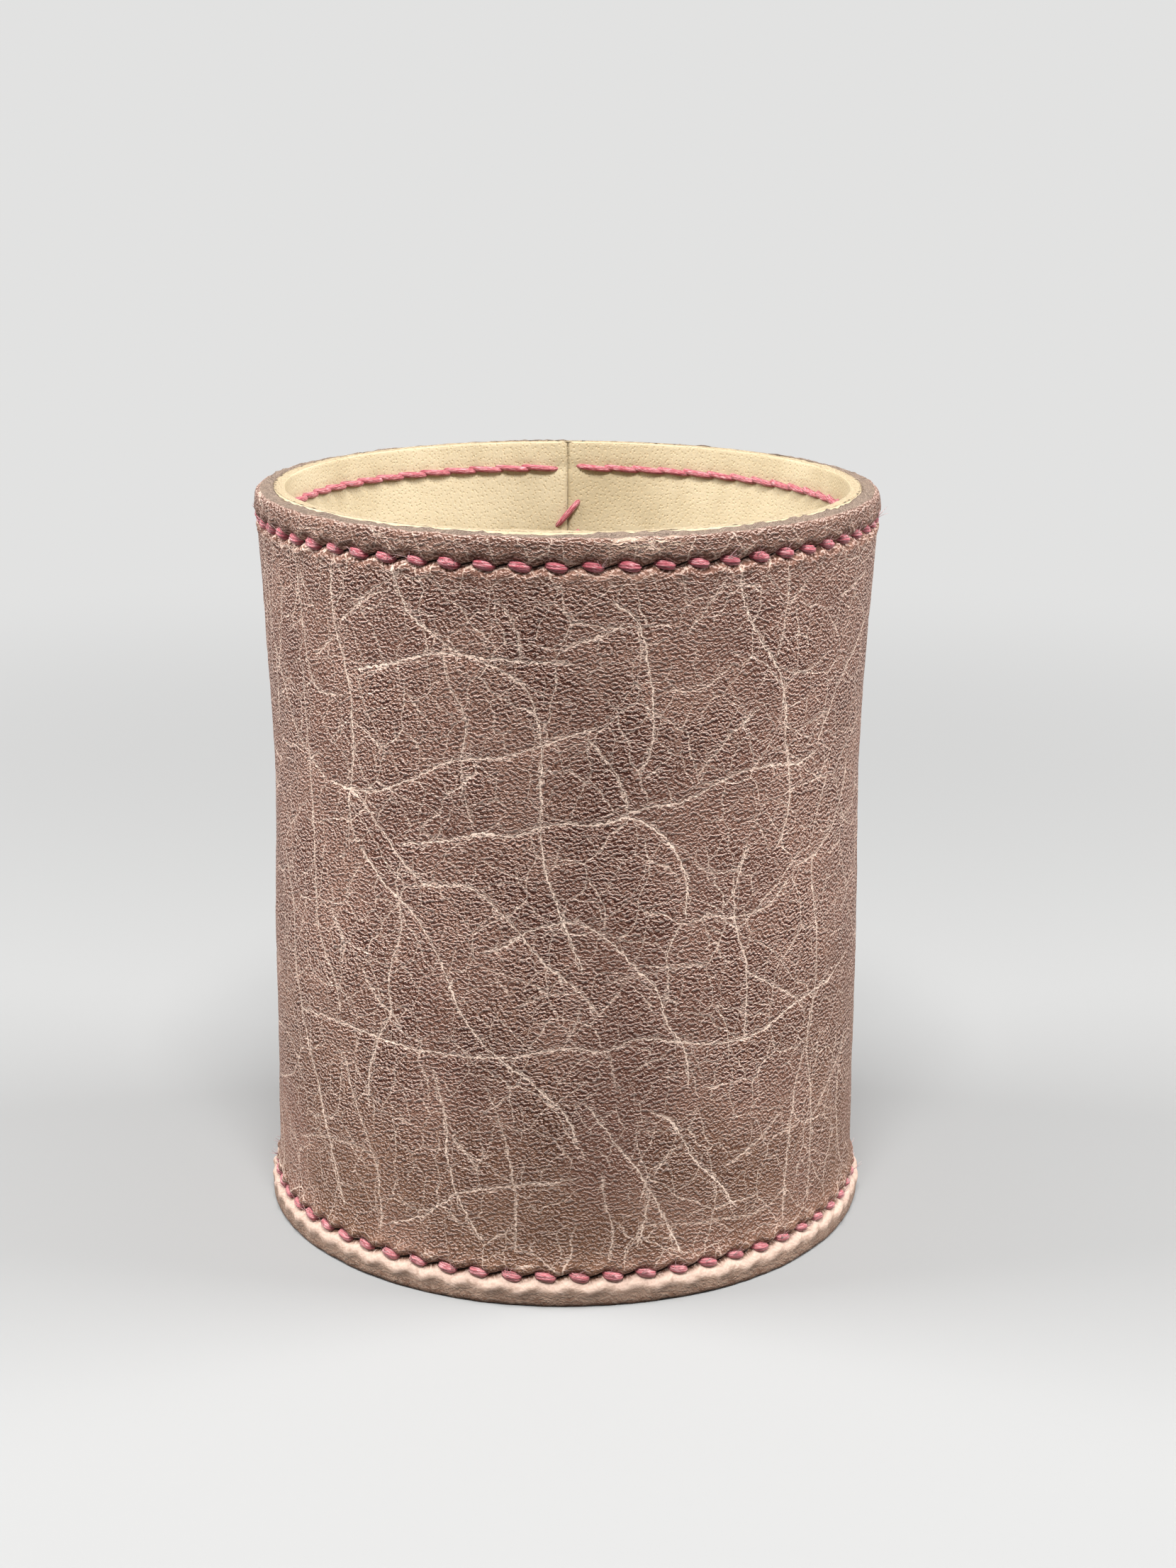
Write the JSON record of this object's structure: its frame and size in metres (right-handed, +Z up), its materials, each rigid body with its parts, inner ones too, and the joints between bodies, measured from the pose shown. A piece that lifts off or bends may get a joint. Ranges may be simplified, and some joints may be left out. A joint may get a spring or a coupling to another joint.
{
  "type": "can cooler sleeve",
  "caption": "Open tube of sewn leather with a pale liner, saddle stitched round both rims, that slips over a tall drinks can.",
  "frame": {"origin": "centre of the sleeve's bottom edge, on the surface that it stands on", "axes": "+Z up along the tube; +Y towards the laced back seam; -Y is the side that the picture shows"},
  "size_m": [0.0762, 0.0761, 0.092],
  "materials": {
    "outer_leather": "pebbled matt-satin brown leather with pale creases and raw cut edges",
    "liner": "undyed pale liner leather, matt",
    "thread": "thick waxed crimson thread"
  },
  "bodies": {
    "root": {"outer_leather": "outer_leather", "liner": "liner", "top_stitching": "thread", "bottom_stitching": "thread", "seam_stitching": "thread"}
  },
  "joints": []
}
